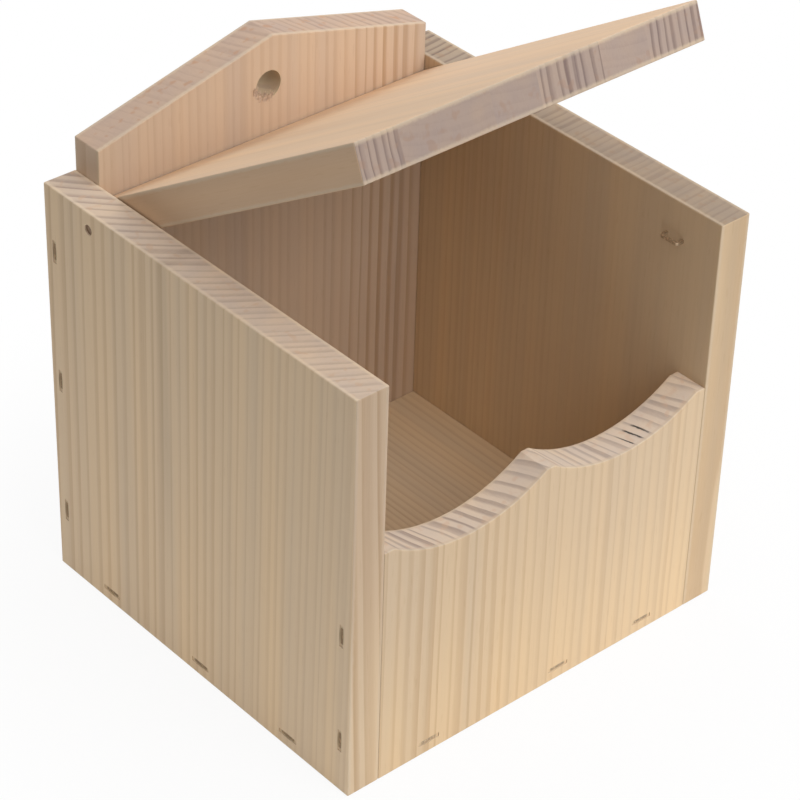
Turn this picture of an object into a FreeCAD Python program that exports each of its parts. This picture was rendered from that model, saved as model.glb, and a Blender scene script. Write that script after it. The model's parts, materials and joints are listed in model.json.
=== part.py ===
import FreeCAD, Part
import math
import os

# Half-open nest box of planed spruce boards, with a lid that swings on two nails.
# Sizes are in millimetres. The origin is the middle of the footprint on the ground,
# the front faces -Y and +Z is up. The lid is modelled ajar.

V = FreeCAD.Vector

# Boards
BOARD = 16.0
WIDTH = 206.0
DEPTH = 194.0
SIDE_HEIGHT = 194.0
EDGE_ROUND = 0.6

# Back panel: a low gable with a hanging hole under its point
SHOULDER_HEIGHT = 209.5
PEAK_HEIGHT = 232.0
PEAK_SHIFT = 2.5
HANG_HOLE = 13.0
HANG_HOLE_DROP = 22.5

# Front panel: two scallops, with short flats at the ends and at the middle
FRONT_HEIGHT = 115.5
SCALLOP_DEPTH = 12.0
SCALLOP_END = 5.0
SCALLOP_MIDDLE = 4.0

# Lid: shut, its top is flush with the sides and its undercut front end stands past the front panel
LID_OPEN = 32.6
LID_OVERHANG = 7.5
LID_UNDERCUT = 3.0
LID_SIDE_GAP = 0.75
LID_TURN_GAP = 0.4
PIVOT_INSET = 14.0
STRIP_SHARES = (20, 44, 23, 32, 24, 29)

# Pivot nails: fast in the sides, with the lid turning on them
NAIL_SHANK = 2.4
NAIL_LENGTH = 34.0
NAIL_POINT = 4.0
NAIL_HEAD = 4.6
NAIL_HEAD_THICK = 1.0
NAIL_SUNK = 0.8
RUN_CLEARANCE = 0.05

# Staples: the crown lies in a shallow dent, and both legs reach into the second board
STAPLE_CROWN = 10.0
STAPLE_LEG = 30.0
STAPLE_WIRE = 1.1
STAPLE_BREADTH = 1.4
STAPLE_BEND = 1.4
STAPLE_POINT = 2.0
STAPLE_SUNK = 0.4
STAPLE_DENT = 0.4
SEAT_CLEARANCE = 0.03

# Where the staples are, from the edge of the side, from the ground and from the middle of the box
SIDE_STAPLE_INSET = 5.7
SIDE_BACK_HEIGHTS = (31.5, 99.5, 163.5)
SIDE_FRONT_HEIGHTS = (26.0, 79.5)
SIDE_FLOOR_SPOTS = (-59.0, -1.5, 60.0)
FRONT_FLOOR_SPOTS = (-60.0, 12.0, 61.0)
BACK_FLOOR_SPOTS = (-60.0, 0.0, 60.0)
FLOOR_STAPLE_HEIGHT = 6.0

# Lid rests: half-driven staples on the inner faces, just under the shut lid
REST_LEG = 14.0
REST_PROUD = 4.0
REST_SETBACK = 24.5
REST_GAP = 0.3

# Faces and lines that the pieces share
SIDE_FACE = WIDTH / 2
INNER_FACE = SIDE_FACE - BOARD
BACK_FACE = DEPTH / 2
BACK_INNER = BACK_FACE - BOARD
FRONT_FACE = -DEPTH / 2
FRONT_INNER = FRONT_FACE + BOARD
LID_HALF_WIDTH = INNER_FACE - LID_SIDE_GAP
LID_UNDERSIDE = SIDE_HEIGHT - BOARD
PIVOT_Y = BACK_INNER - PIVOT_INSET
PIVOT_Z = SIDE_HEIGHT - BOARD / 2
LID_TAIL = math.sqrt((PIVOT_INSET - LID_TURN_GAP) ** 2 - (BOARD / 2) ** 2)


def block(low, high):
    """A plain box between two corners."""
    return Part.makeBox(high.x - low.x, high.y - low.y, high.z - low.z, low)


def line(start, end):
    return Part.LineSegment(start, end).toShape()


def arc(start, middle, end):
    return Part.Arc(start, middle, end).toShape()


def plate(edges, direction):
    """A closed outline, made solid along one direction."""
    return Part.Face(Part.Wire(edges)).extrude(direction)


def eased(board):
    """The same board with its edges sanded round."""
    return board.makeFillet(EDGE_ROUND, board.Edges)


def side_board(sign):
    """A square side, outside the other boards. The sign is -1 on the left and 1 on the right."""
    low_x, high_x = sorted((sign * INNER_FACE, sign * SIDE_FACE))
    return eased(block(V(low_x, FRONT_FACE, 0), V(high_x, BACK_FACE, SIDE_HEIGHT)))


def floor_board():
    """The floor, between the sides, the front and the back."""
    return eased(block(V(-INNER_FACE, FRONT_INNER, 0), V(INNER_FACE, BACK_INNER, BOARD)))


def back_board():
    """The gabled back panel with its hanging hole."""
    corners = [
        V(-INNER_FACE, BACK_INNER, 0),
        V(INNER_FACE, BACK_INNER, 0),
        V(INNER_FACE, BACK_INNER, SHOULDER_HEIGHT),
        V(PEAK_SHIFT, BACK_INNER, PEAK_HEIGHT),
        V(-INNER_FACE, BACK_INNER, SHOULDER_HEIGHT),
    ]
    edges = [line(a, b) for a, b in zip(corners, corners[1:] + corners[:1])]
    panel = eased(plate(edges, V(0, BOARD, 0)))
    hole_at = V(0, BACK_INNER, PEAK_HEIGHT - HANG_HOLE_DROP)
    return panel.cut(Part.makeCylinder(HANG_HOLE / 2, BOARD, hole_at, V(0, 1, 0)))


def front_board():
    """The low front panel, whose top is two scallops."""
    def at(x, z):
        return V(x, FRONT_FACE, z)

    inner = SCALLOP_MIDDLE / 2
    outer = INNER_FACE - SCALLOP_END
    low_x = (inner + outer) / 2
    low_z = FRONT_HEIGHT - SCALLOP_DEPTH
    edges = [
        line(at(-INNER_FACE, 0), at(INNER_FACE, 0)),
        line(at(INNER_FACE, 0), at(INNER_FACE, FRONT_HEIGHT)),
        line(at(INNER_FACE, FRONT_HEIGHT), at(outer, FRONT_HEIGHT)),
        arc(at(outer, FRONT_HEIGHT), at(low_x, low_z), at(inner, FRONT_HEIGHT)),
        line(at(inner, FRONT_HEIGHT), at(-inner, FRONT_HEIGHT)),
        arc(at(-inner, FRONT_HEIGHT), at(-low_x, low_z), at(-outer, FRONT_HEIGHT)),
        line(at(-outer, FRONT_HEIGHT), at(-INNER_FACE, FRONT_HEIGHT)),
        line(at(-INNER_FACE, FRONT_HEIGHT), at(-INNER_FACE, 0)),
    ]
    return eased(plate(edges, V(0, BOARD, 0)))


def staple(leg, grow=0.0):
    """A wire staple: crown along X with its outer face at Z 0, legs down. Grown, it is its own seat."""
    half = STAPLE_CROWN / 2 + grow
    inside = STAPLE_CROWN / 2 - STAPLE_WIRE - grow
    under = -STAPLE_WIRE - grow
    slant = STAPLE_POINT / STAPLE_WIRE
    drop = grow * math.hypot(1, slant)
    tip = -leg - slant * grow - drop
    heel = STAPLE_POINT - leg + slant * grow - drop
    bend = STAPLE_BEND + grow
    breadth = STAPLE_BREADTH + 2 * grow
    nick = bend * (1 - math.sqrt(0.5))

    def at(x, z):
        return V(x, -breadth / 2, z)

    edges = [
        line(at(-half, tip), at(-half, grow - bend)),
        arc(at(-half, grow - bend), at(nick - half, grow - nick), at(bend - half, grow)),
        line(at(bend - half, grow), at(half - bend, grow)),
        arc(at(half - bend, grow), at(half - nick, grow - nick), at(half, grow - bend)),
        line(at(half, grow - bend), at(half, tip)),
        line(at(half, tip), at(inside, heel)),
        line(at(inside, heel), at(inside, under)),
        line(at(inside, under), at(-inside, under)),
        line(at(-inside, under), at(-inside, heel)),
        line(at(-inside, heel), at(-half, tip)),
    ]
    return plate(edges, V(0, breadth, 0))


def staple_seat(leg):
    """The space a sunk staple takes out of the wood: its own channel and the dent over its crown."""
    long = STAPLE_CROWN / 2 + STAPLE_DENT
    wide = STAPLE_BREADTH / 2 + STAPLE_DENT
    dent = block(V(-long, -wide, 0), V(long, wide, 2 * STAPLE_SUNK))
    return staple(leg, SEAT_CLEARANCE).fuse(dent)


def placed(shape, spot, along, out):
    """A copy of a staple or its seat, with its crown along one direction and facing out."""
    copy = shape.copy()
    copy.Placement = FreeCAD.Placement(spot, FreeCAD.Rotation(along, out.cross(along), out, "ZXY"))
    return copy


def staple_rows():
    """Each row of staples: its name and the place, crown direction and facing of each staple."""
    rows = {}
    sunk_x = SIDE_FACE - STAPLE_SUNK
    sunk_y = BACK_FACE - STAPLE_SUNK
    inset_y = BACK_FACE - SIDE_STAPLE_INSET
    upright, lengthways, crossways = V(0, 0, 1), V(0, 1, 0), V(1, 0, 0)
    for side, sign in (("left", -1), ("right", 1)):
        out = V(sign, 0, 0)
        x = sign * sunk_x
        rows[side + "_back_staples"] = [(V(x, inset_y, z), upright, out) for z in SIDE_BACK_HEIGHTS]
        rows[side + "_front_staples"] = [(V(x, -inset_y, z), upright, out) for z in SIDE_FRONT_HEIGHTS]
        rows[side + "_floor_staples"] = [
            (V(x, y, FLOOR_STAPLE_HEIGHT), lengthways, out) for y in SIDE_FLOOR_SPOTS]
    rows["front_floor_staples"] = [
        (V(x, -sunk_y, FLOOR_STAPLE_HEIGHT), crossways, V(0, -1, 0)) for x in FRONT_FLOOR_SPOTS]
    rows["back_floor_staples"] = [
        (V(x, sunk_y, FLOOR_STAPLE_HEIGHT), crossways, V(0, 1, 0)) for x in BACK_FLOOR_SPOTS]
    return rows


def lid_rest_spot(sign):
    """Where a lid rest's crown is, and the directions of the crown and of its outer face."""
    x = sign * (INNER_FACE - REST_PROUD)
    z = LID_UNDERSIDE - REST_GAP - STAPLE_BREADTH / 2
    return V(x, FRONT_FACE + REST_SETBACK, z), V(0, 1, 0), V(-sign, 0, 0)


def nail(sign, grow=0.0, head_room=0.0):
    """A pivot nail, driven in from a side's outer face. Grown, it is its own hole."""
    inward = V(-sign, 0, 0)
    seat_x = sign * (SIDE_FACE - NAIL_SUNK - NAIL_HEAD_THICK)
    under_head = V(seat_x, PIVOT_Y, PIVOT_Z)
    shank = NAIL_SHANK / 2 + grow
    straight = NAIL_LENGTH - NAIL_POINT
    head = Part.makeCylinder(NAIL_HEAD / 2 + grow, NAIL_HEAD_THICK + head_room, under_head, -inward)
    body = Part.makeCylinder(shank, straight, under_head, inward)
    point = Part.makeCone(shank, grow, NAIL_POINT + grow, under_head + inward * straight, inward)
    return head.fuse([body, point]).removeSplitter()


def lid_boards():
    """The lid: one shut board, bored for the nails, opened about them and parted at its glue lines."""
    low = V(-LID_HALF_WIDTH, FRONT_FACE - LID_OVERHANG, LID_UNDERSIDE)
    high = V(LID_HALF_WIDTH, PIVOT_Y + LID_TAIL, SIDE_HEIGHT)
    corners = [
        V(low.x, low.y + LID_UNDERCUT, low.z),
        V(low.x, high.y, low.z),
        V(low.x, high.y, high.z),
        V(low.x, low.y, high.z),
    ]
    edges = [line(a, b) for a, b in zip(corners, corners[1:] + corners[:1])]
    lid = eased(plate(edges, V(high.x - low.x, 0, 0)))
    lid = lid.cut([nail(-1, RUN_CLEARANCE), nail(1, RUN_CLEARANCE)])
    strips = []
    start = low.x
    for share in STRIP_SHARES:
        end = start + 2 * LID_HALF_WIDTH * share / sum(STRIP_SHARES)
        strip = lid.common(block(V(start, low.y, low.z), V(end, high.y, high.z)))
        strip.rotate(V(0, PIVOT_Y, PIVOT_Z), V(-1, 0, 0), LID_OPEN)
        strips.append(strip)
        start = end
    return strips


def build():
    """Every node of the nest box, by name."""
    rows = staple_rows()
    driven = staple(STAPLE_LEG)
    half_driven = staple(REST_LEG)
    driven_seat = staple_seat(STAPLE_LEG)
    half_driven_seat = staple(REST_LEG, SEAT_CLEARANCE)

    nodes = {
        "left_side": side_board(-1),
        "right_side": side_board(1),
        "floor_panel": floor_board(),
        "back_panel": back_board(),
        "front_panel": front_board(),
    }
    seats = [placed(driven_seat, *where) for row in rows.values() for where in row]
    for sign in (-1, 1):
        seats.append(placed(half_driven_seat, *lid_rest_spot(sign)))
        seats.append(nail(sign, SEAT_CLEARANCE, 2 * NAIL_SUNK))
    nodes = {name: board.cut(seats) for name, board in nodes.items()}

    for name, row in rows.items():
        nodes[name] = Part.makeCompound([placed(driven, *where) for where in row])
    for side, sign in (("left", -1), ("right", 1)):
        nodes["lid_rest_" + side] = placed(half_driven, *lid_rest_spot(sign))
        nodes["pivot_nail_" + side] = nail(sign)
    for number, strip in enumerate(lid_boards(), 1):
        nodes["lid_strip_" + str(number)] = strip
    return nodes


os.makedirs("parts", exist_ok=True)
for name, shape in build().items():
    shape.exportStep("parts/" + name + ".step")
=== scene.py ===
import json
import math
import bpy
from mathutils import Euler, Matrix, Vector


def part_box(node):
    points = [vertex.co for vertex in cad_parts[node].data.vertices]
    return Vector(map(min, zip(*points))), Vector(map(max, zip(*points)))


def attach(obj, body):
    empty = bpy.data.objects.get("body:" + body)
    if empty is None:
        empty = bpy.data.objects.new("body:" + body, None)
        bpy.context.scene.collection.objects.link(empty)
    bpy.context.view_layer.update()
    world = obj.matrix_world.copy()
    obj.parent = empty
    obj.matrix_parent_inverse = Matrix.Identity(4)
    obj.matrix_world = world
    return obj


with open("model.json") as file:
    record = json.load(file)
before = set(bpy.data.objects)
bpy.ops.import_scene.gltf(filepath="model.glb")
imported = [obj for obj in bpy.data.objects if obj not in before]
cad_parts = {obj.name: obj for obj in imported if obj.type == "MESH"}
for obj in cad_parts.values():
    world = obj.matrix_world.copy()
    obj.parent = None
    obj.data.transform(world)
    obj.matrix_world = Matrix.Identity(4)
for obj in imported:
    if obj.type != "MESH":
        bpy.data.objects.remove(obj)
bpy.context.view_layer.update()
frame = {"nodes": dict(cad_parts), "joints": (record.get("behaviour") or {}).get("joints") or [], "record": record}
nodes = frame["nodes"]


# Floor panel
# A plain spruce board, planed on both faces, that lies between the sides, the front and the back.
# Its grain runs from front to back, and staples through the other boards hold it.

def pick(sockets, key):
    """The socket with this identifier, name or number."""
    named = [socket for socket in sockets if key in (socket.identifier, socket.name)]
    return named[0] if named else sockets[key]


class Shade:
    """One output in a tree of nodes. Sums with it add Math nodes, and node() adds any other node."""

    def __init__(self, tree, socket=None):
        self.tree = tree
        self.socket = socket

    def node(self, kind, settings=None, sockets=None, out=0):
        """A new node: its type, short for a shader's, its settings, and its sockets' values or links."""
        made = self.tree.nodes.new(kind if "Node" in kind else "ShaderNode" + kind)
        for key, value in (settings or {}).items():
            setattr(made, key, value)
        for key, value in (sockets or {}).items():
            if isinstance(value, Shade):
                value.feed(pick(made.inputs, key))
            else:
                pick(made.inputs, key).default_value = value
        return Shade(self.tree, pick(made.outputs, out))

    def feed(self, socket):
        """Links this output to a node's socket."""
        self.tree.links.new(self.socket, socket)

    def math(self, operation, *values):
        return self.node("Math", {"operation": operation}, dict(enumerate(values)))

    def __add__(self, other):
        return self.math("ADD", self, other)

    def __sub__(self, other):
        return self.math("SUBTRACT", self, other)

    def __rsub__(self, other):
        return self.math("SUBTRACT", other, self)

    def __mul__(self, other):
        return self.math("MULTIPLY", self, other)

    def __truediv__(self, other):
        return self.math("DIVIDE", self, other)

    def __pow__(self, other):
        return self.math("POWER", self, other)

    def __abs__(self):
        return self.math("ABSOLUTE", self)

    __radd__ = __add__
    __rmul__ = __mul__


def rise(value, low, high, start=0.0, end=1.0):
    """The start value below the low mark and the end value above the high one, with a smooth step."""
    return value.node("MapRange", {"interpolation_type": "SMOOTHSTEP"},
                      {"Value": value, "From Min": low, "From Max": high, "To Min": start, "To Max": end})


def opaque(colour):
    """A colour with full alpha, as a socket takes it."""
    return (*colour, 1.0)


def blend(factor, first, second):
    """A colour between two, which are colours or links."""
    return factor.node("Mix", {"data_type": "RGBA"},
                       {"Factor_Float": factor, "A_Color": first, "B_Color": second}, out="Result_Color")


def filtered(colour, glass):
    """A colour seen through coloured glass: the two are multiplied."""
    return colour.node("Mix", {"data_type": "RGBA", "blend_type": "MULTIPLY"},
                       {"Factor_Float": 1.0, "A_Color": colour, "B_Color": glass}, out="Result_Color")


def parts(vector):
    """The X, Y and Z of a vector, as three values."""
    return [vector.node("SeparateXYZ", sockets={"Vector": vector}, out=axis) for axis in "XYZ"]


def new_finish(name):
    """A new material, its shader and a start for its nodes."""
    material = bpy.data.materials.new(name)
    material.use_nodes = True
    return material, material.node_tree.nodes["Principled BSDF"], Shade(material.node_tree)


def on_board(start, source, turn, centre=(0, 0, 0)):
    """A point's place, or the way its surface faces, along the board's own axes."""
    return start.node("Mapping", {"vector_type": "TEXTURE"},
                      {"Vector": start.node("TexCoord", out=source), "Location": centre, "Rotation": turn})


NOISE_MIDDLE = 0.5
NOISE_ROUGHNESS = 0.55


def streaks(place, width, length, detail=2.0, depth=None):
    """Noise about 0, whose spots are as long as given along the grain. The sizes are in metres."""
    drawn = place.node("VectorMath", {"operation": "MULTIPLY"},
                       {0: place, 1: (1 / width, 1 / (depth or width), 1 / length)})
    noise = place.node("TexNoise", {"noise_dimensions": "3D"},
                       {"Vector": drawn, "Scale": 1.0, "Detail": detail, "Roughness": NOISE_ROUGHNESS})
    return noise - NOISE_MIDDLE


DRIFT_ACROSS = 0.003
DRIFT_THROUGH = 0.002
RING_SHIFT = 0.9
SHIFTS_PER_METRE = 45.0
INNER_RINGS = 40.0
LATE_WOOD_GROWS = (0.35, 0.86)
LATE_WOOD_STOPS = (0.90, 1.0)
FAINTEST_RING = 0.60


def growth_rings(across, through, along, drift, heart, ring, crowd, lean, seed):
    """Dark late wood, from 0 to 1, in rings that wander, differ in width and have each its own strength."""
    aside = across - heart[0] + drift * DRIFT_ACROSS + along * lean
    below = through - heart[1] + drift * DRIFT_THROUGH
    distance = (aside * aside + below * below) ** 0.5 - math.hypot(*heart)
    uneven = distance.node("TexNoise", {"noise_dimensions": "1D"},
                           {"W": distance * SHIFTS_PER_METRE + seed, "Detail": 2.0})
    rings = distance * (1 + distance * (crowd / 2)) / ring + uneven * RING_SHIFT + INNER_RINGS
    phase = rings.math("FRACT", rings)
    each = rings.node("TexWhiteNoise", {"noise_dimensions": "1D"},
                      {"W": rings.math("FLOOR", rings) + seed})
    strength = FAINTEST_RING + (1 - FAINTEST_RING) * each
    return rise(phase, *LATE_WOOD_GROWS) * (1 - rise(phase, *LATE_WOOD_STOPS)) * strength


def even(value):
    """A value that is the same all across a board, as two (place across, value) pairs."""
    return (-1, value), (1, value)


floor_low, floor_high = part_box("floor_panel")
board_half = (floor_high.z - floor_low.z) / 2
UNTINTED = (1.0, 1.0, 1.0)
FACING_SQUARELY = (0.5, 0.85)

# Planed faces, and how much of each kind of mark shows on them
EARLY_WOOD = (0.725, 0.547, 0.357)
LATE_WOOD = (0.530, 0.348, 0.192)
FIBRE_SHOWS = 0.24
CANAL_MARKS = (0.20, 0.30)
CANAL_SHOWS = 0.12
BAND_LIGHTENS = 0.16
BAND_REDDENS = 0.08
BAND_YELLOWS = 0.18

# Sawn ends, and the arris between them and the faces, sanded paler and lightened further as a painted highlight
EARLY_END = (0.650, 0.515, 0.405)
LATE_END = (0.325, 0.235, 0.195)
RUSSET_END = (0.600, 0.395, 0.265)
RUSSET_MARKS = (0.08, 0.22)
MOTTLE_SHOWS = 0.16
SCORE_SHOWS = 0.16
PALE_LIT_ARRIS = (0.700, 0.560, 0.405)
ARRIS_LIGHTENS = 0.65
ARRIS_STARTS = 0.0021
ARRIS_FULL = 0.0008
ARRIS_RAGGED = 0.0012

# Feel of the wood: late wood is smoother and stands proud, and fibres and ends are rougher
PLANED_ROUGHNESS = 0.66
LATE_SMOOTHER = 0.10
FIBRE_ROUGHER = 0.16
END_ROUGHER = 0.14
LATE_STANDS_PROUD = 0.5
BUMP_STRENGTH = 0.35
BUMP_DEPTH = 0.00012
WOOD_SHINE = 0.3


def spruce(name, centre, turn, heart, ring, crowd=0.0, lean=0.0, seed=0.0,
           lines=even(0.5), end_lines=even(0.8), tone=even(1.0), tint=UNTINTED, end_tint=UNTINTED,
           russet=0.4, edge_tone=0.9, edge_lines=2.0, painted_shading=None, edge_painted_shading=None,
           dark_band=None, stain=None, bore=None, dents=(), bruise_and_shade=0.7):
    """Planed spruce as a solid. The board's own X runs across its face, Y through it and Z with the grain.
    The tree's heart lies at (across, through) from the board's centre, where a ring is as wide as given.
    Further out the rings crowd by a share per metre, and along the grain they lean to one side.
    The strength of the lines on the faces and on the ends, and the tone, each change between two
    (place across, value) pairs. The side edges have a tone of their own and stronger lines.
    The tints colour the faces and the ends, and russet is the strength of red-brown patches on the ends.
    The painted shading is painted light and shade on the faces, and the edge painted shading on the side edges,
    each between two (place along, colour) pairs.
    A dark band is (across, half width, strength).
    A stain is (across, through, half width, half depth) on the end grain.
    A bore is (across, along, radius) of a drilled hole.
    A dent is (across, along, half width, half length) of the wood round a staple, bruised and painted with shade
    this much.
    The functions for these four marks stand with the boards that have them."""
    material, finish, start = new_finish(name)
    place = on_board(start, "Object", turn, centre)
    across, through, along = parts(place)
    aside_face, _, end_face = parts(on_board(start, "Normal", turn))
    end_grain = rise(abs(end_face), *FACING_SQUARELY)
    side_edge = rise(abs(aside_face), *FACING_SQUARELY)
    sawn = end_grain.math("MAXIMUM", end_grain, side_edge)

    def changing(first, last):
        """A value that changes across the board, between two (place, value) pairs."""
        return rise(across, first[0], last[0], first[1], last[1])

    # Growth rings, and the fibres, resin canals and broad bands along the grain
    seeded = start.node("VectorMath", {"operation": "ADD"}, {0: place, 1: (seed, 2 * seed, 3 * seed)})
    drift = streaks(seeded, width=0.028, length=0.200)
    late = growth_rings(across, through, along, drift, heart, ring, crowd, lean, seed)
    fibre = streaks(seeded, width=0.0006, length=0.024, detail=3.0)
    canal = rise(streaks(seeded, width=0.0009, length=0.009, detail=0.0), *CANAL_MARKS)
    band = streaks(seeded, width=0.013, length=0.350, detail=1.0)
    line_strength = changing(*lines) * (1 + side_edge * (edge_lines - 1))
    grain = late * line_strength + fibre * FIBRE_SHOWS + canal * CANAL_SHOWS
    face = blend(grain, opaque(EARLY_WOOD), opaque(LATE_WOOD))

    # End grain: darker and greyer, mottled and scored by the saw, and russet in places
    mottle = streaks(seeded, width=0.0016, length=0.004)
    blotch = streaks(seeded, width=0.0045, length=0.020, detail=1.0)
    score = streaks(seeded, width=0.0007, length=0.0007, detail=1.0, depth=0.020)
    end_rings = late * changing(*end_lines) + mottle * MOTTLE_SHOWS + score * SCORE_SHOWS
    end = blend(end_rings, opaque(EARLY_END), opaque(LATE_END))
    end = blend(rise(blotch, *RUSSET_MARKS) * russet, end, opaque(RUSSET_END))
    if stain:
        end = blend(stained(across, through, late, mottle, stain), end, opaque(SOOT))
    colour = filtered(blend(end_grain, face, end), blend(end_grain, opaque(tint), opaque(end_tint)))

    # The arris is sanded and paler, where the end or the edge meets the face, and lighter still as a painted
    # highlight
    arris = rise(abs(through) + mottle * ARRIS_RAGGED, board_half - ARRIS_STARTS, board_half - ARRIS_FULL)
    colour = blend(arris * sawn * ARRIS_LIGHTENS, colour, opaque(PALE_LIT_ARRIS))

    # Marks of the drill and of the staples, with painted light on the bore's wall and painted shade in the dents
    if bore:
        colour = blend(drilled(across, along, late, mottle, bore), colour, opaque(BURNISHED_AND_LIT))
    for dent in dents:
        # Each dent: bruised wood and painted shade.
        colour = blend(dented(place, fibre, dent) * bruise_and_shade, colour, opaque(BRUISED_AND_SHADED))

    # Painted light and shade that change along the grain, and tone that changes across it, in warm and cool bands
    for pairs, where in ((painted_shading, 1 - sawn), (edge_painted_shading, side_edge)):
        if pairs:
            (low_along, low_colour), (high_along, high_colour) = pairs
            shading_tint = blend(rise(along, low_along, high_along), opaque(low_colour), opaque(high_colour))
            colour = filtered(colour, blend(where, opaque(UNTINTED), shading_tint))
    shade = changing(*tone) * (1 + band * BAND_LIGHTENS) * (1 - side_edge * (1 - edge_tone))
    if dark_band:
        shade = shade * (1 - banded(across, along, drift, dark_band))
    redder = shade * (1 + band * BAND_REDDENS)
    yellower = shade * (1 - band * BAND_YELLOWS)
    warmth = start.node("CombineColor", sockets={"Red": redder, "Green": shade, "Blue": yellower})
    colour = filtered(colour, warmth)

    roughness = PLANED_ROUGHNESS - late * LATE_SMOOTHER + fibre * FIBRE_ROUGHER + end_grain * END_ROUGHER
    height = late * LATE_STANDS_PROUD + fibre + end_grain * (mottle + score)
    bump = start.node("Bump", sockets={"Height": height, "Strength": BUMP_STRENGTH, "Distance": BUMP_DEPTH})
    colour.feed(finish.inputs["Base Color"])
    roughness.feed(finish.inputs["Roughness"])
    bump.feed(finish.inputs["Normal"])
    finish.inputs["Specular IOR Level"].default_value = WOOD_SHINE
    return material


def dress(node, material):
    """Gives a CAD node its finish."""
    slots = nodes[node].data.materials
    slots.clear()
    slots.append(material)


def middle(node):
    """The middle of a CAD node's box."""
    low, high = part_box(node)
    return (low + high) / 2


GRAIN_LENGTHWAYS = Matrix(((1, 0, 0), (0, 0, 1), (0, -1, 0))).to_euler()
dress("floor_panel", spruce("floor_spruce", middle("floor_panel"), GRAIN_LENGTHWAYS,
                            heart=(0.22, 0.16), ring=0.0025, crowd=1.0, seed=1.3,
                            lines=((-0.08, 0.95), (0.08, 0.40)),
                            tone=even(1.10), tint=(0.98, 1.03, 1.09)))


# Back panel
# A spruce board cut to a low gable, with a hanging hole drilled under its point.
# Its grain stands upright. Staples through both sides hold it, and a row at its foot goes into the floor.

# The drilled wall, burnished and lightened further as painted light in the dim bore.
BURNISHED_AND_LIT = (0.660, 0.525, 0.345)
RUBBED_AND_LIT_RIM = 0.0006
RIM_RAGGED = 0.0008
RUBBED_AND_LIT_MOST = 0.85
LATE_WOOD_RESISTS = 0.4


def drilled(across, along, late, mottle, bore):
    """How far a drill has burnished the wood, on the wall of its hole and just round it, where it is also
    lightened as painted light.
    """
    bore_across, bore_along, radius = bore
    aside = across - bore_across
    above = along - bore_along
    off_middle = (aside * aside + above * above) ** 0.5 + mottle * RIM_RAGGED
    rubbed_and_lit = 1 - rise(off_middle, radius, radius + RUBBED_AND_LIT_RIM)
    return rubbed_and_lit * (RUBBED_AND_LIT_MOST - late * LATE_WOOD_RESISTS)


# Bruised wood in the dents round the staples, darkened further as painted shade in the hollow.
BRUISED_AND_SHADED = (0.330, 0.240, 0.140)
DENT_CORE = 0.5
DENT_RAGGED = 0.5
RIGHT_THROUGH = 1.0


def dented(place, fibre, dent):
    """How far the wood round a staple is pressed, bruised and painted with shade: wholly in the dent's core, and
    not past its rim.
    """
    dent_across, dent_along, half_width, half_length = dent
    offset = place.node("VectorMath", {"operation": "SUBTRACT"},
                        {0: place, 1: (dent_across, 0, dent_along)})
    share = place.node("VectorMath", {"operation": "DIVIDE"},
                       {0: offset, 1: (half_width, RIGHT_THROUGH, half_length)})
    off_middle = place.node("VectorMath", {"operation": "LENGTH"}, {0: share}, out="Value")
    return 1 - rise(off_middle + fibre * DENT_RAGGED, DENT_CORE, 1.0)


X, Y, Z = range(3)
STAPLES_APART = 0.020
DENT_HALF_WIDTH = 0.0017
DENT_HALF_LENGTH = 0.0063


def staple_places(row, axis):
    """The middle of each staple in a row of them, which lie apart along one axis."""
    groups = []
    for vertex in sorted(nodes[row].data.vertices, key=lambda vertex: vertex.co[axis]):
        if groups and vertex.co[axis] - groups[-1][-1][axis] < STAPLES_APART:
            groups[-1].append(vertex.co)
        else:
            groups.append([vertex.co])
    return [(Vector(map(min, *group)) + Vector(map(max, *group))) / 2 for group in groups]


def row_dents(board, row, across, axis):
    """The dents round a row of staples, whose crowns lie along the row.
    The board's own X runs along the across axis, and the row along the other one given."""
    centre = middle(board)
    half = (DENT_HALF_LENGTH, DENT_HALF_WIDTH) if axis == across else (DENT_HALF_WIDTH, DENT_HALF_LENGTH)
    return [(spot[across] - centre[across], spot.z - centre.z, *half) for spot in staple_places(row, axis)]


GRAIN_UP_FACING_FRONT = Euler((0, 0, 0))
hole = next(mount for mount in frame["record"]["mounts"] if mount["name"] == "hanging_hole")
hole_centre = Vector(hole["pos_m"])
hole_radius = hole["dims"]["r_mm"] / 1000
hole_on_board = hole_centre - middle("back_panel")
dress("back_panel", spruce("gable_spruce", middle("back_panel"), GRAIN_UP_FACING_FRONT,
                           heart=(0.30, 0.10), ring=0.0046, crowd=1.8, seed=2.1,
                           lines=((0.02, 0.28), (0.075, 0.98)), end_lines=((-0.08, 0.14), (0.08, 0.50)),
                           tone=((-0.087, 0.88), (0.087, 1.03)), tint=(0.99, 0.99, 1.12),
                           end_tint=(0.88, 0.80, 0.77), russet=0.8,
                           bore=(hole_on_board.x, hole_on_board.z, hole_radius),
                           # Painted shade: the faces are darker below the gable, where the box and its lid shade
                           # the board.
                           painted_shading=((0.055, (0.92, 0.93, 0.94)), (0.085, (1.00, 1.02, 1.03))),
                           dents=row_dents("back_panel", "back_floor_staples", across=X, axis=X)))


# Torn fibres
# The drill tore the grain at the lower left of the hanging hole and left a tuft of fibres there.
# They are thin splinters of the same spruce, still rooted in the panel, that stand up along its grain.

TORN_PALE = (0.790, 0.640, 0.510)
TORN_DARK = (0.600, 0.470, 0.380)
TORN_SPOTS_PER_METRE = 900.0
TORN_PATCHES = (0.35, 0.65)
TORN_ROUGHNESS = 0.95
PALE_PATCHES_SMOOTHER = 0.2
TORN_SHINE = 0.2


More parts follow.
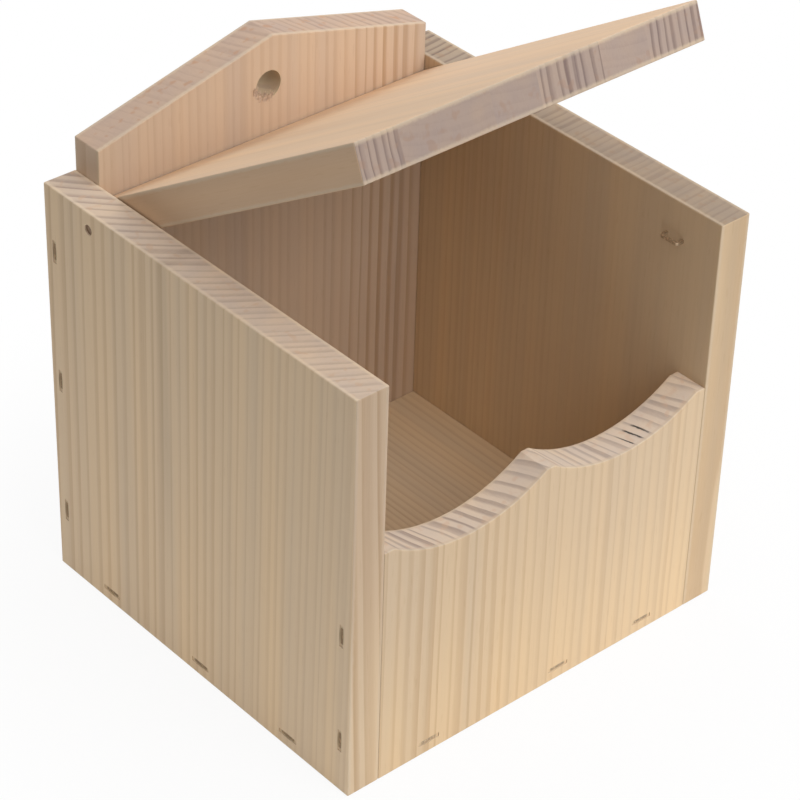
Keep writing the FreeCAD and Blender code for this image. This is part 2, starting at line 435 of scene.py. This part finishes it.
def torn_spruce():
    """Raw torn wood, greyer than a planed face, with each fibre a little different."""
    material, finish, start = new_finish("torn_spruce")
    patch = start.node("TexNoise", sockets={
        "Vector": start.node("TexCoord", out="Object"), "Scale": TORN_SPOTS_PER_METRE})
    colour = blend(rise(patch, *TORN_PATCHES), opaque(TORN_DARK), opaque(TORN_PALE))
    roughness = TORN_ROUGHNESS - patch * PALE_PATCHES_SMOOTHER
    colour.feed(finish.inputs["Base Color"])
    roughness.feed(finish.inputs["Roughness"])
    finish.inputs["Specular IOR Level"].default_value = TORN_SHINE
    return material


ROOT_DEPTH = 0.0002
panel_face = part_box("back_panel")[0].y
tuft_sizes = {
    "Fibres": ("Int", 90),
    "Seed": ("Int", 7),
    "Hole Centre": ("Vector", (hole_centre.x, panel_face + ROOT_DEPTH, hole_centre.z)),
    "Hole Radius": ("Float", hole_radius),
    "Torn From": ("Float", math.radians(195)),
    "Torn To": ("Float", math.radians(285)),
    "Root Spread": ("Float", 0.0020),
    "Length": ("Float", 0.0048),
    "Half Width": ("Float", 0.00026),
    "Lift": ("Float", math.radians(16)),
    "Splay": ("Float", math.radians(14)),
    "Finish": ("Material", torn_spruce()),
}
FIBRE_SIDES = 5
TIP_SHARE = 0.3
SHORTEST_SHARE = 0.35
WIDTH_SHARES = (0.6, 1.4)


def fibre_tuft():
    """Geometry nodes that plant fibres at random along the torn part of the hole's rim."""
    tuft = bpy.data.node_groups.new("fibre_tuft", "GeometryNodeTree")
    for label, (kind, _) in tuft_sizes.items():
        tuft.interface.new_socket(label, in_out="INPUT", socket_type="NodeSocket" + kind)
    tuft.interface.new_socket("Geometry", in_out="OUTPUT", socket_type="NodeSocketGeometry")
    start = Shade(tuft)
    given = tuft.nodes.new("NodeGroupInput")
    size = {label: Shade(tuft, given.outputs[label]) for label in tuft_sizes}

    def chance(low, high, salt):
        """A random value between two, another one for each fibre."""
        return start.node("FunctionNodeRandomValue", {"data_type": "FLOAT"},
                          {"Min_001": low, "Max_001": high, "Seed": size["Seed"] + salt}, out="Value_001")

    angle = chance(size["Torn From"], size["Torn To"], salt=0)
    reach = size["Hole Radius"] + chance(0.0, size["Root Spread"], salt=1)
    from_centre = start.node("CombineXYZ", sockets={
        "X": angle.math("COSINE", angle) * reach, "Z": angle.math("SINE", angle) * reach})
    root = start.node("VectorMath", {"operation": "ADD"}, {0: size["Hole Centre"], 1: from_centre})
    turn = start.node("CombineXYZ", sockets={
        "X": chance(0.0, size["Lift"], salt=2), "Y": chance(0 - size["Splay"], size["Splay"], salt=3)})
    half_width = size["Half Width"] * chance(*WIDTH_SHARES, salt=4)
    length = size["Length"] * chance(SHORTEST_SHARE, 1.0, salt=5)
    stretch = start.node("CombineXYZ", sockets={"X": half_width, "Y": half_width, "Z": length})
    fibre = start.node("GeometryNodeMeshCone", {"fill_type": "NGON"}, {
        "Vertices": FIBRE_SIDES, "Radius Top": TIP_SHARE, "Radius Bottom": 1.0, "Depth": 1.0})
    roots = start.node("GeometryNodePoints", sockets={"Count": size["Fibres"], "Position": root})
    planted = start.node("GeometryNodeInstanceOnPoints", sockets={
        "Points": roots, "Instance": fibre, "Rotation": turn, "Scale": stretch})
    whole = start.node("GeometryNodeRealizeInstances", sockets={"Geometry": planted})
    dressed = start.node("GeometryNodeSetMaterial", sockets={"Geometry": whole, "Material": size["Finish"]})
    dressed.feed(tuft.nodes.new("NodeGroupOutput").inputs["Geometry"])
    return tuft


torn_fibres = bpy.data.objects.new("torn_fibres", bpy.data.meshes.new("torn_fibres"))
bpy.context.scene.collection.objects.link(torn_fibres)
growth = torn_fibres.modifiers.new("growth", "NODES")
growth.node_group = fibre_tuft()
for item in growth.node_group.interface.items_tree:
    if item.in_out == "INPUT":
        growth[item.identifier] = tuft_sizes[item.name][1]
grown = torn_fibres.evaluated_get(bpy.context.evaluated_depsgraph_get())
fibre_mesh = bpy.data.meshes.new_from_object(grown)
torn_fibres.modifiers.remove(growth)
torn_fibres.data = fibre_mesh
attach(torn_fibres, "box")


# Sides
# Two square spruce boards that stand outside all the others, with upright grain.
# They are sawn to length, so their tops show end grain, and all their edges are sanded round.

DARK_BAND_CORE = 0.3
DARK_BAND_WAVES = 0.004
DARK_BAND_FADES = (-0.06, 0.02)


def banded(across, along, drift, dark_band):
    """How far a dark band along the grain darkens the wood. It fades out towards the foot."""
    band_across, half_width, strength = dark_band
    beside = abs(across - band_across + drift * DARK_BAND_WAVES)
    shown = 1 - rise(beside, half_width * DARK_BAND_CORE, half_width)
    return shown * rise(along, *DARK_BAND_FADES) * strength


def side_dents(side):
    """The dents round the staples of a side: upright along its front and back, and level along its foot."""
    rows = (("_front_staples", Z), ("_back_staples", Z), ("_floor_staples", Y))
    return sum((row_dents(side + "_side", side + row, Y, axis) for row, axis in rows), [])


GRAIN_UP_FACING_SIDE = Euler((0, 0, math.radians(90)))
dress("left_side", spruce("left_side_spruce", middle("left_side"), GRAIN_UP_FACING_SIDE,
                          heart=(0.30, -0.235), ring=0.0043, crowd=2.2, lean=0.02, seed=3.7,
                          lines=((-0.070, 0.32), (0.0, 0.62)), end_lines=((-0.097, 0.35), (0.097, 0.70)),
                          tone=even(1.02), tint=(0.99, 1.0, 1.02),
                          end_tint=(0.92, 0.91, 0.89), edge_tone=0.90, edge_lines=2.6,
                          # Painted light and shade: the side edges are lighter at the foot and darker at the top,
                          # under the lid.
                          edge_painted_shading=((-0.080, (1.05, 1.05, 1.05)), (0.050, (0.90, 0.88, 0.91))),
                          dark_band=(0.0190, 0.0050, 0.10), dents=side_dents("left")))
dress("right_side", spruce("right_side_spruce", middle("right_side"), GRAIN_UP_FACING_SIDE,
                           heart=(0.30, 0.02), ring=0.0040, seed=4.9,
                           lines=((-0.05, 0.10), (0.08, 0.35)), end_lines=((-0.03, 0.30), (0.07, 1.00)),
                           tone=((-0.097, 0.86), (0.097, 0.97)), end_tint=(0.68, 0.665, 0.63),
                           edge_tone=1.16, edge_lines=5.0, dents=side_dents("right"),
                           # Painted light and shade: the faces are lighter and cooler at the foot, and darker at
                           # the top, which the lid shades.
                           painted_shading=((-0.080, (1.08, 1.10, 1.12)), (0.090, (0.93, 0.92, 0.91)))))


# Front panel
# A low spruce board with two scallops bandsawn into its top, where a bird comes in.
# Its grain stands upright. Staples through the sides and into the floor hold it.

SOOT = (0.070, 0.058, 0.048)
STAIN_CORE_ACROSS = 0.7
STAIN_CORE_THROUGH = 0.6
STAIN_RAGGED = 0.004
STAIN_MOTTLED = 0.6
STAIN_TAKES = (0.42, 0.60)


def stained(across, through, late, mottle, stain):
    """How far a stain has soaked into the end grain, which is most in its late wood."""
    stain_across, stain_through, half_width, half_depth = stain
    beside = abs(across - stain_across)
    deeper = abs(through - stain_through + mottle * STAIN_RAGGED)
    in_width = 1 - rise(beside, half_width * STAIN_CORE_ACROSS, half_width)
    in_depth = 1 - rise(deeper, half_depth * STAIN_CORE_THROUGH, half_depth)
    return in_width * in_depth * rise(late + mottle * STAIN_MOTTLED, *STAIN_TAKES)


STREAK_PLACE = (0.0522, -0.0015)
STREAK_REACH = (0.0065, 0.0055)
dress("front_panel", spruce("front_spruce", middle("front_panel"), GRAIN_UP_FACING_FRONT,
                            heart=(-0.28, -0.09), ring=0.0050, crowd=1.4, seed=5.2,
                            lines=((-0.06, 0.55), (0.04, 0.37)), end_lines=((-0.05, 0.86), (0.05, 0.64)),
                            tone=((-0.087, 0.96), (0.087, 1.08)), end_tint=(1.16, 1.21, 1.24),
                            # Painted light: the faces are lighter and warmer at the foot, standing in for light
                            # thrown up from the ground in front.
                            painted_shading=((-0.050, (1.07, 1.055, 1.01)), (0.045, (0.98, 0.98, 0.99))),
                            stain=STREAK_PLACE + STREAK_REACH, bruise_and_shade=0.25,
                            dents=row_dents("front_panel", "front_floor_staples", across=X, axis=X)))


# Staples and lid rests
# Flat wire staples with a dull brown coat, shot in by a machine so that they lie in a shallow dent.
# Two more are driven half in on the inner faces, and the shut lid rests on them. The coat of those two
# is paler, and the front staples share that paler coat as a painted highlight of the front lamp's reflection.

WORN_SPOTS_PER_METRE = 900.0
WORN_PATCHES = (0.45, 0.7)
WORN_LIGHTER = 1.7
COAT_ROUGHNESS = 0.42
WORN_ROUGHER = 0.25
COAT_METALLIC = 0.75


def wire(name, colour):
    """Dull coated steel wire with a worn, patchy surface."""
    material, finish, start = new_finish(name)
    worn = start.node("TexNoise", sockets={
        "Vector": start.node("TexCoord", out="Object"), "Scale": WORN_SPOTS_PER_METRE, "Detail": 3.0})
    pale = tuple(min(1.0, WORN_LIGHTER * channel) for channel in colour)
    shade = blend(rise(worn, *WORN_PATCHES), opaque(colour), opaque(pale))
    roughness = COAT_ROUGHNESS + worn * WORN_ROUGHER
    shade.feed(finish.inputs["Base Color"])
    roughness.feed(finish.inputs["Roughness"])
    finish.inputs["Metallic"].default_value = COAT_METALLIC
    return material


STAPLE_BROWN = (0.235, 0.158, 0.088)
# A paler coat, which on the front staples is a painted highlight standing in for the front lamp's reflection.
WORN_AND_LIT_BROWN = (0.400, 0.300, 0.200)
WORN_AND_LIT_STAPLES = ("front_floor_staples", "lid_rest_left", "lid_rest_right")
staple_wire = wire("staple_wire", STAPLE_BROWN)
worn_and_lit_wire = wire("worn_and_lit_wire", WORN_AND_LIT_BROWN)
for name in nodes:
    if name in WORN_AND_LIT_STAPLES:
        dress(name, worn_and_lit_wire)
    elif name.endswith("staples"):
        dress(name, staple_wire)


# Lid
# A board glued from six spruce strips, whose grain runs from front to back.
# It is sawn off at a slight slant at the front and stands ajar on its nails.

hinge = frame["joints"][0]
lid_pivot = Vector(hinge["pos_m"])
lid_open = Matrix.Rotation(math.radians(-hinge["range_deg"][0]), 3, Vector(hinge["axis"]))
lid_turn = (lid_open @ GRAIN_LENGTHWAYS.to_matrix()).to_euler()
ACROSS_THE_RINGS = {"heart": (0.25, 0.004), "end_lines": even(1.0)}
ALONG_THE_RINGS = {"heart": (0.015, -0.11), "end_lines": even(0.12)}
LID_STRIPS = (
    dict(ACROSS_THE_RINGS, ring=0.0032, tone=even(0.96)),
    dict(ALONG_THE_RINGS, ring=0.0036, tone=even(0.93)),
    dict(ALONG_THE_RINGS, ring=0.0040, tone=even(0.95)),
    dict(ACROSS_THE_RINGS, ring=0.0043, tone=even(1.00)),
    dict(ALONG_THE_RINGS, ring=0.0036, tone=even(1.03)),
    dict(ACROSS_THE_RINGS, ring=0.0037, tone=even(1.06)),
)
FIRST_STRIP_SEED = 7.0
for index, cut in enumerate(LID_STRIPS):
    number = str(index + 1)
    strip_middle = middle("lid_strip_" + number).x
    strip_centre = Vector((strip_middle, lid_pivot.y, lid_pivot.z))
    dress("lid_strip_" + number, spruce("lid_spruce_" + number, strip_centre, lid_turn,
                                        seed=FIRST_STRIP_SEED + index, lines=even(0.33),
                                        tint=(1.03, 0.97, 0.99), end_tint=(0.71, 0.68, 0.72),
                                        edge_tone=0.93, **cut))


# Pivot nails
# Two steel wire nails, driven through the sides into the lid's edges, that the lid swings on.
# Their dulled heads are punched in below the face of the wood.

NAIL_BROWN = (0.225, 0.152, 0.100)
nail_steel = wire("nail_steel", NAIL_BROWN)
for side in ("left", "right"):
    dress("pivot_nail_" + side, nail_steel)


# Ground
# A plain white ground that the box stands on. It is a flat disc, a hair below the box's foot.
# It shows the box's soft shadow and turns pure white further out.

GROUND_RADIUS = 0.6
GROUND_SIDES = 96
GROUND_DROP = 0.0002
ground_mesh = bpy.data.meshes.new("ground")
around = [2 * math.pi * i / GROUND_SIDES for i in range(GROUND_SIDES)]
rim = [(GROUND_RADIUS * math.cos(a), GROUND_RADIUS * math.sin(a), -GROUND_DROP) for a in around]
ground_mesh.from_pydata(rim, [], [range(GROUND_SIDES)])
ground = bpy.data.objects.new("ground", ground_mesh)
bpy.context.scene.collection.objects.link(ground)


def seen_rays(start):
    """1 for rays that show a thing to the camera, straight, mirrored or through glass, and 0 for light."""
    kinds = ("Is Camera Ray", "Is Glossy Ray", "Is Transmission Ray")
    straight, mirrored, refracted = [start.node("LightPath", out=kind) for kind in kinds]
    return straight.math("MAXIMUM", straight.math("MAXIMUM", straight, mirrored), refracted)


WHITE = (1.0, 1.0, 1.0)
GROUND_WHITE = (0.90, 0.90, 0.90)
GROUND_ROUGHNESS = 0.9
GROUND_GLOW = 0.90
CLEAR_OF_SHADOW = (0.14, 0.27)


def ground_paint():
    """Matt white that mixes into a pure white glow, which only the camera sees, away from the box."""
    material, finish, start = new_finish("ground_paint")
    finish.inputs["Base Color"].default_value = opaque(GROUND_WHITE)
    finish.inputs["Roughness"].default_value = GROUND_ROUGHNESS
    lit = Shade(start.tree, finish.outputs[0])
    place = start.node("TexCoord", out="Object")
    away = start.node("VectorMath", {"operation": "LENGTH"}, {0: place}, out="Value")
    glowing = seen_rays(start) * rise(away, *CLEAR_OF_SHADOW, GROUND_GLOW, 1.0)
    glow = start.node("Emission", sockets={"Color": opaque(WHITE), "Strength": 1.0})
    mixed = start.node("MixShader", sockets={0: glowing, 1: lit, 2: glow})
    mixed.feed(start.tree.nodes["Material Output"].inputs["Surface"])
    return material


ground_mesh.materials.append(ground_paint())


# Light
# Soft studio light from large square lamps at the front, the right and the rear, all aimed at the box.
# An even white sky above the horizon fills the shadows, and the camera sees it as a white backdrop.

LAMP_DISTANCE = 2.0
LAMP_AIM = Vector((0, 0, 0.1))


def lamp(name, azimuth, elevation, size, power):
    """A square soft lamp that shines at the box from a direction, in degrees."""
    data = bpy.data.lights.new(name, "AREA")
    data.size = size
    data.energy = power
    lamp_object = bpy.data.objects.new(name, data)
    turned = math.radians(azimuth)
    raised = math.radians(elevation)
    level = math.cos(raised)
    back = Vector((math.sin(turned) * level, -math.cos(turned) * level, math.sin(raised)))
    lamp_object.location = LAMP_AIM + back * LAMP_DISTANCE
    lamp_object.rotation_euler = back.to_track_quat("Z", "Y").to_euler()
    bpy.context.scene.collection.objects.link(lamp_object)


lamp("front_lamp", azimuth=2, elevation=47, size=1.3, power=16.0)
lamp("right_lamp", azimuth=70, elevation=45, size=1.2, power=10.5)
lamp("rear_lamp", azimuth=180, elevation=45, size=1.2, power=7.5)

SKY_STRENGTH = 0.52
HORIZON_HALF = 0.02
world = bpy.data.worlds.new("surround")
bpy.context.scene.world = world
world.use_nodes = True
sky = Shade(world.node_tree)
seen = seen_rays(sky)
upward = sky.node("SeparateXYZ", sockets={"Vector": sky.node("TexCoord", out="Generated")}, out="Z")
strength = seen + (1 - seen) * rise(upward, -HORIZON_HALF, HORIZON_HALF, 0.0, SKY_STRENGTH)
background = world.node_tree.nodes["Background"]
background.inputs["Color"].default_value = opaque(WHITE)
strength.feed(background.inputs["Strength"])


# Camera
# A camera with a long lens at the photograph's view, from the front left and well above the box.
# It turns about the point that it aims at, and leans a little to one side.

CAMERA_AZIMUTH = -42.063
CAMERA_ELEVATION = 35.487
CAMERA_ROLL = 1.865
CAMERA_LENS = 134.155
SENSOR_WIDTH = 36.0
CAMERA_DISTANCE = 1.2344
CAMERA_AIM = Vector((-0.00486, -0.01173, 0.10321))
camera_data = bpy.data.cameras.new("camera")
camera_data.lens = CAMERA_LENS
camera_data.sensor_width = SENSOR_WIDTH
camera = bpy.data.objects.new("camera", camera_data)
camera.matrix_world = (
    Matrix.Translation(CAMERA_AIM)
    @ Matrix.Rotation(math.radians(CAMERA_AZIMUTH), 4, "Z")
    @ Matrix.Rotation(math.radians(90 - CAMERA_ELEVATION), 4, "X")
    @ Matrix.Rotation(math.radians(CAMERA_ROLL), 4, "Z")
    @ Matrix.Translation((0, 0, CAMERA_DISTANCE))
)
bpy.context.scene.collection.objects.link(camera)
bpy.context.scene.camera = camera
bpy.context.scene.view_settings.view_transform = "Standard"
